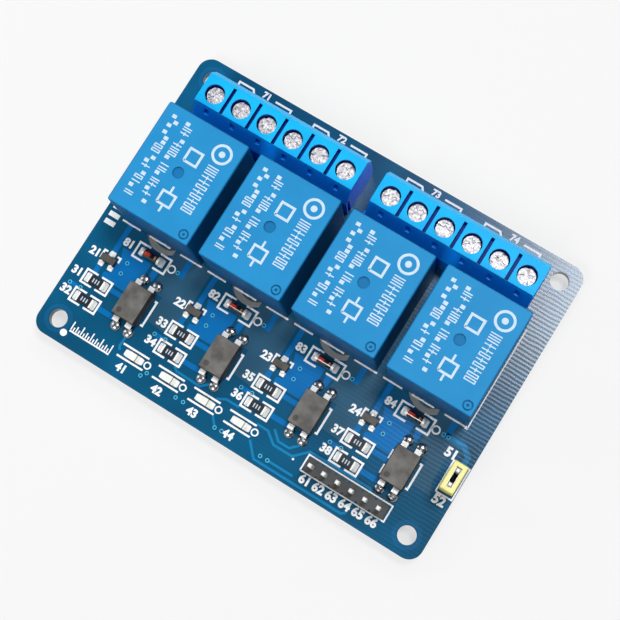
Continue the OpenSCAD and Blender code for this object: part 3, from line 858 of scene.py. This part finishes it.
# %% Vias
VIA_R, VIA_HOLE = 0.36, 0.22
RIM_T, HOLE_T = 0.06, 0.045
VIA_RIM = lacquer("lacquered_via_rim", "#55C8EE", "#48BAE2")
VIA_HOLE_SHADE = start("painted_shade_via_hole", Base_Color=rgb("#06304E"), Roughness=0.6)[0]
front_vias = [
    (-16.4, 3.5), (-17.1, 2.6), (-10.0, 2.6), (-8.5, 2.6), (-1.7, 1.8), (-0.4, 1.9), (7.3, 1.8), (8.7, 1.8),
]
vias = [(x, EDGE + y) for x, y in front_vias] + [(31.2, FRONT - 3.05), (32.1, FRONT - 3.05)]
for i in range(4):
    vias += placed([(-3.45, -6.1), (-3.45, -8.15), (-10.2, -13.85), (-8.1, -13.75)], i)
    if i < 3:
        vias += placed([(4.9, -3.05)], i)
raised("via_rims", [ring(x, y, VIA_R, VIA_HOLE, 16) for x, y in vias], TOP, TOP + RIM_T, VIA_RIM)
raised("via_hole_shades", [disc(x, y, VIA_HOLE, 12) for x, y in vias], TOP, TOP + HOLE_T, VIA_HOLE_SHADE)

# %% [markdown]
# ## White ink
#
# The outlines round the parts are screen-printed in white epoxy ink. Plain numbers
# mark the parts, the poles and the pins. Blender's own font draws the digits: each
# becomes a mesh of flat faces, which goes through the same function as the lines.

# %% Digits
DIGIT_TALL = 0.72
BOLD = 0.065


def digits(text, x, y, height):
    """Patches for a number centred on a place, height in millimetres. DIGIT_TALL is
    a digit's share of the font's size, and BOLD thickens its strokes."""
    curve = bpy.data.curves.new("digits", "FONT")
    curve.body = text
    curve.align_x, curve.align_y = "CENTER", "CENTER"
    curve.size = height / DIGIT_TALL
    curve.offset = BOLD * height
    curve.resolution_u = 3
    holder = bpy.data.objects.new("digits", curve)
    mesh = bpy.data.meshes.new_from_object(holder)
    flat = [Vector((x, y)) + v.co.to_2d() for v in mesh.vertices]
    patch = [[tuple(flat[k]) for k in p.vertices] for p in mesh.polygons]
    bpy.data.objects.remove(holder)
    bpy.data.curves.remove(curve)
    bpy.data.meshes.remove(mesh)
    return patch


print("a digit has", len(digits("8", 0, 0, 1.4)), "faces before it is raised")

# %% [markdown]
# ## Outlines round the parts
#
# Every small part has its outline and its number, the same in each channel, so they
# are placed from the relay's centre line and front like the copper. An outline that
# follows a node, such as the header's, is placed from that node's box instead.

# %% Brackets, and the ink of one channel
INK_T = 0.06
LINE = 0.36
THIN_LINE = 0.32
FINE_LINE = 0.26
NUMBER = 1.4


def brackets(x0, y0, x1, y1, gap, middle):
    """A box drawn as two facing brackets, with a gap in its long sides."""
    lines = [
        [(middle - gap / 2, y1), (x0, y1), (x0, y0), (middle - gap / 2, y0)],
        [(middle + gap / 2, y0), (x1, y0), (x1, y1), (middle + gap / 2, y1)],
    ]
    return [ribbon(line, LINE) for line in lines]


def channel_ink(i):
    """Diode, two resistors, transistor, optocoupler, relay front, and their numbers."""
    x, y = RELAY_X[i], FRONT
    ink = brackets(x - 3.5, y - 4.5, x + 2.85, y - 1.75, 2.0, x - 0.35)
    for row in (-11.6, -15.25):
        ink += brackets(x - 8.75, y + row - 1.22, x - 3.65, y + row + 1.22, 0.75, x - 6.2)
    ink.append(ring(x + 3.65, y - 3.05, 0.78, 0.5, 20))
    corners = [
        [(-8.05, -7.6), (-8.05, -6.05), (-7.4, -6.05)],
        [(-5.5, -6.05), (-4.85, -6.05), (-4.85, -6.9)],
        [(4.25, -9.2), (4.65, -9.2), (4.65, -13.85), (4.25, -13.85)],
    ]
    if i == 3:
        corners += [[(-0.6, -9.4), (-0.6, -11.1)], [(-0.6, -12.2), (-0.6, -13.9)]]
    ink += [ribbon(placed(line, i), LINE) for line in corners]
    for x0, x1 in ((-8.3, -4.6), (-2.8, 1.5), (3.5, 7.9)):
        ink.append(ribbon(placed([(x0, -0.1), (x1, -0.1)], i), THIN_LINE))
    numbers = (
        (80 + i + 1, -5.05, -3.05), (20 + i + 1, -9.35, -7.2),
        (30 + 2 * i + 1, -10.15, -11.6), (30 + 2 * i + 2, -10.15, -15.25),
    )
    return ink + [digits(str(n), x + dx, y + dy, NUMBER) for n, dx, dy in numbers]


print("ink of one channel:", len(channel_ink(0)), "shapes")

# %% Ink of the lamps, the header and the link
PINS = 6
header_low, header_high, _ = spot("input_header")


def lamp_ink(i):
    """A line on both sides of the lamp, and a ring at its marked end."""
    _, _, mid = spot(f"lamp_{i + 1}")
    ink = [ribbon([(mid.x - 2.8, mid.y + s), (mid.x + 2.4, mid.y + s)], 0.34) for s in (-1.1, 1.1)]
    ink.append(ring(mid.x + 2.7, mid.y, 0.68, 0.42, 20))
    ink.append(digits(f"4{i + 1}", mid.x - 0.9, mid.y - 2.7, NUMBER))
    return ink


def header_ink():
    """The strip's outline, wider at its left end, and a number for each pin."""
    low, high = header_low, header_high
    ink = [outline(low.x - 0.45, low.y - 0.1, high.x + 0.35, high.y + 0.3, FINE_LINE)]
    pitch = (high.x - low.x) / PINS
    for k in range(PINS):
        ink.append(digits(f"6{k + 1}", low.x + (k + 0.45) * pitch, low.y - 1.2, 1.5))
    return ink


def link_ink():
    """The strip's outline and a number at both ends."""
    low, high, mid = spot("link_header")
    ink = [outline(low.x - 0.15, low.y - 0.4, high.x + 0.3, high.y + 0.35, FINE_LINE)]
    ink.append(digits("51", mid.x - 2.3, high.y + 1.0, 1.6))
    ink.append(digits("52", mid.x - 0.2, low.y - 1.5, 1.6))
    return ink


print("header pitch:", round((header_high.x - header_low.x) / PINS, 2), "mm")

# %% Ink behind the terminals, and what belongs to no part
POLES = 6
END_RIB = 0.5
TICKS, TICK_STEP = 17, 0.4875


def switch_ink():
    """A change-over switch as a circuit diagram draws it, behind each three poles."""
    ink = []
    back = block_high.y
    for b in (1, 2):
        low, high, _ = spot(f"terminal_housing_{b}")
        pole = (high.x - low.x - END_RIB) / POLES
        for g in (0, 1):
            x = high.x - POLES * pole + (3 * g + 0.4) * pole
            arm = [(x, back + 0.9), (x, back + 2.4), (x + 2.8, back + 2.4), (x + 3.8, back + 1.0)]
            rest = [(x + 7.3, back + 2.4), (x + 10.5, back + 2.4), (x + 10.5, back + 0.9)]
            ink += [ribbon(arm, LINE), ribbon(rest, LINE)]
            ink.append(digits(f"7{2 * b + g - 1}", x + 5.5, back + 2.5, 1.15))
    return ink


def board_ink():
    """A short ruler, two dots, three index bars, and a line beside the last relay."""
    ink = [ribbon([(-31.7, EDGE + 2.75), (-23.7, EDGE + 2.75)], 0.3)]
    for k in range(TICKS):
        tick = 1.6 if k % 4 == 0 else 1.1 if k % 2 == 0 else 0.7
        x = -31.6 + TICK_STEP * k
        ink.append(bar(x - 0.11, EDGE + 2.95, x + 0.11, EDGE + 2.9 + tick))
    ink.append(disc(-32.4, EDGE + 1.9, 0.62))
    ink.append(disc(12.2, EDGE + 4.2, 0.2, 12))
    for k in range(3):
        ink.append(bar(-37.1, FRONT + 0.9 - 1.5 * k, -35.1, FRONT + 1.8 - 1.5 * k))
    last = relays[-1][1]
    right = last.x + 0.22
    ink.append(ribbon([(right - 0.6, FRONT - 0.3), (right, FRONT - 0.3), (right, last.y)], 0.2))
    return ink


ink = [patch for i in range(4) for patch in channel_ink(i) + lamp_ink(i)]
ink += header_ink() + link_ink() + switch_ink() + board_ink()
raised("white_ink", ink, TOP, TOP + INK_T, INK)

# %% [markdown]
# ## Print on the relays
#
# Each cover carries a white pad print. Words and marks are left off: rows of bars,
# boxes and crosses keep their tone, and a coil symbol, a ring and a square stand in
# for marks. The signs could be placed by hand, but a seeded choice is shorter, looks
# as mixed as writing, and gives every cover the same print.

# %% Rows of plain signs
SIGN_LINE, SIGN_GAP = 0.2, 0.22


def sign(x, y, tall, wide, kind):
    """One plain sign of a row that runs down the board: its patches."""
    left, right, end, middle = x - tall / 2, x + tall / 2, y - wide, y - wide / 2
    half = SIGN_LINE / 2
    stem = bar(left, middle - half, right, middle + half)
    if kind == "bar":
        return [stem]
    if kind == "box":
        corners = [(left + half, y - half), (right - half, y - half)]
        corners += [(right - half, end + half), (left + half, end + half)]
        return [ribbon(corners + corners[:2], SIGN_LINE)[:4]]
    if kind == "pair":
        return [bar(left, end, right, end + SIGN_LINE), bar(left, y - SIGN_LINE, right, y)]
    if kind == "low":
        return [bar(left, end, x, y)]
    if kind == "high":
        return [bar(x, end, right, y)]
    return [stem, bar(x - half, end, x + half, middle - half), bar(x - half, middle + half, x + half, y)]


def sign_row(x, y_from, y_to, tall, wide, groups, seed):
    """A row of mixed signs from y_from down to y_to, parted into groups of the given
    numbers in turn."""
    pick = random.Random(seed)
    patches, y, group = [], y_from, 0
    while y - wide > y_to:
        for _ in range(groups[group % len(groups)]):
            if y - wide < y_to:
                break
            kind = pick.choice(("bar", "box", "pair", "low", "high", "cross"))
            patches += sign(x, y, tall, wide, kind)
            y -= wide + SIGN_GAP
        y -= 0.7 * wide
        group += 1
    return patches


print("a row of signs:", len(sign_row(0, 7.9, -7.2, 1.55, 0.62, (3, 5, 3, 4), 11)), "shapes")

# %% Print of the four covers
PAD_T = 0.02


def relay_print(i):
    """Two rows of small signs, one of large ones, ring, square and coil symbol."""
    _, high, mid = relays[i]
    x, y = mid.x, mid.y
    shapes = []
    for dx, seed in ((-5.2, 11), (-2.6, 12)):
        shapes += sign_row(x + dx, y + 7.9, y - 7.2, 1.55, 0.62, (3, 5, 3, 4), seed)
    shapes += sign_row(x + 4.5, y + 3.7, y - 5.4, 2.0, 0.66, (11,), 13)
    shapes.append(ring(x + 4.5, y + 6.1, 1.75, 1.3))
    shapes.append(disc(x + 4.5, y + 6.1, 0.55))
    shapes.append(outline(x - 0.4, y + 2.2, x + 1.9, y + 4.5, 0.42))
    shapes.append(outline(x - 0.5, y - 5.7, x + 1.9, y - 3.6, 0.4))
    for y0, y1 in ((-7.0, -5.9), (-3.4, -2.3)):
        shapes.append(ribbon([(x + 0.7, y + y0), (x + 0.7, y + y1)], LINE))
    raised(f"relay_print_{i + 1}", shapes, high.z, high.z + PAD_T, PAD_INK)


for i in range(4):
    relay_print(i)

# %% [markdown]
# ## Solder
#
# Solder wets a part's metal end and runs down to its pad in a hollow slope. A
# squashed ball would be quicker, but it swells where real solder is hollow. So one
# function makes a slope as a small grid: highest at the part, thin at the pad's
# edge, rounded across. A lead that goes through the board ends in a dome.

# %% A slope of solder
# TAPER narrows the slope towards the pad's edge, HOLLOW bends it, and ROUND lowers its
# two sides. PAD_EDGE is what is left of its height at the end.
ROWS, COLS = 6, 7
TAPER, HOLLOW, ROUND = 0.35, 1.8, 0.5
PAD_EDGE = 0.05


def slope(verts, faces, x, y, turn, length, width, height):
    """A hollow slope from (x, y) at the part's end outwards along turn, in degrees.
    Level 0 is its flat underside, level 1 its upper side, and the rim joins them."""
    spin = Matrix.Rotation(math.radians(turn), 2)
    base = len(verts)
    for level in (0, 1):
        for r in range(ROWS):
            u = r / (ROWS - 1)
            half = width / 2 * math.sqrt(1 - TAPER * u ** 3)
            for c in range(COLS):
                v = 2 * c / (COLS - 1) - 1
                z = TOP + level * (PAD_EDGE + height * (1 - u) ** HOLLOW * (1 - ROUND * v ** 4))
                p = spin @ Vector((u * length, v * half))
                verts.append((x + p.x, y + p.y, z))
    size = ROWS * COLS
    for r in range(ROWS - 1):
        for c in range(COLS - 1):
            a, b = base + r * COLS + c, base + (r + 1) * COLS + c
            faces.append((a, a + 1, b + 1, b))
            faces.append((a + size, b + size, b + size + 1, a + size + 1))
    rim = [r * COLS for r in range(ROWS)] + [(ROWS - 1) * COLS + c for c in range(1, COLS)]
    rim += [r * COLS + COLS - 1 for r in range(ROWS - 2, -1, -1)] + list(range(COLS - 2, 0, -1))
    for a, b in zip(rim, rim[1:] + rim[:1]):
        faces.append((base + a, base + b, base + b + size, base + a + size))


def both_ends(verts, faces, box, length, width, height, sink=0.12):
    """Slopes at the left and right end of a chip, a diode or a lamp. They start sink
    inside the part, so that no gap shows."""
    low, high, mid = box
    slope(verts, faces, low.x + sink, mid.y, 180, length + sink, width, height)
    slope(verts, faces, high.x - sink, mid.y, 0, length + sink, width, height)


print("a slope is a grid of", ROWS, "by", COLS, "points")

# %% A dome of solder
STEPS, COUNT = 5, 20


def dome(verts, faces, x, y, r, height):
    """A round cap of solder on a ring pad, in STEPS rings of COUNT points."""
    base = len(verts)
    for k in range(STEPS):
        t = k / STEPS * math.pi / 2
        for p in circle_points(x, y, r * math.cos(t), COUNT)[:-1]:
            verts.append((*p, TOP + height * math.sin(t)))
    verts.append((x, y, TOP + height))
    for k in range(STEPS - 1):
        for c in range(COUNT):
            a, b = base + k * COUNT + c, base + k * COUNT + (c + 1) % COUNT
            faces.append((a, b, b + COUNT, a + COUNT))
    last = base + (STEPS - 1) * COUNT
    for c in range(COUNT):
        faces.append((last + c, last + (c + 1) % COUNT, base + STEPS * COUNT))
    faces.append(tuple(range(base + COUNT - 1, base - 1, -1)))


print("a dome has", STEPS * COUNT + 1, "points")

# %% Solder at every small part
CHIPS = range(1, 9)
DIODE_CAP = Vector((0.45, 0, 0))
LEAD_TO_DOME = 1.35
slopes, slope_faces = [], []
domes, dome_faces = [], []
for n in CHIPS:
    chip_box = spot(f"resistor_{n}")
    both_ends(slopes, slope_faces, chip_box, length=0.6, width=1.75, height=0.5, sink=0.02)
for i in CHANNELS:
    both_ends(slopes, slope_faces, spot(f"lamp_{i}"), length=0.85, width=1.25, height=0.28)
    low, high, mid = spot(f"diode_{i}")
    capped = (low - DIODE_CAP, high + DIODE_CAP, mid)
    both_ends(slopes, slope_faces, capped, length=0.7, width=1.6, height=0.8, sink=0.05)
    low, high, mid = spot(f"transistor_{i}")
    slope(slopes, slope_faces, mid.x, high.y + 0.1, 90, length=0.95, width=1.2, height=0.45)
    for side in (-0.95, 0.95):
        slope(slopes, slope_faces, mid.x + side, low.y - 0.1, -90, length=0.85, width=1.05, height=0.45)
    low, high, mid = spot(f"optocoupler_{i}")
    for side in (-1.27, 1.27):
        for y in (high.y + LEAD_TO_DOME, low.y - LEAD_TO_DOME):
            dome(domes, dome_faces, mid.x + side + 0.1, y, 0.98, 0.5)
make("solder_slopes", slopes, slope_faces, SOLDER, smooth=True)
make("solder_domes", domes, dome_faces, BRIGHT_SOLDER, smooth=True)

# %% [markdown]
# ## Marks on the chip resistors
#
# A chip's value is printed on its glaze in tiny digits. They read as three pale
# strokes, so that is what is drawn.

# %% Strokes on the chips
STROKE_W, STROKE_L, STROKE_T = 0.2, 0.76, 0.015
marks = []
for n in CHIPS:
    _, high, mid = spot(f"resistor_{n}")
    for dx in (-0.5, 0.0, 0.5):
        x, y = mid.x + dx, mid.y
        marks.append(bar(x - STROKE_W / 2, y - STROKE_L / 2, x + STROKE_W / 2, y + STROKE_L / 2))
raised("chip_marks", marks, high.z, high.z + STROKE_T, PAD_INK)

# %% [markdown]
# ## Size of the scene
#
# Nothing added here may make the board bigger than its CAD model. The box round
# everything that renders is printed.

# %% Box of everything that renders
low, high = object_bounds()
print("visual box:", [round(c / MM, 2) for c in (high - low)], "mm")
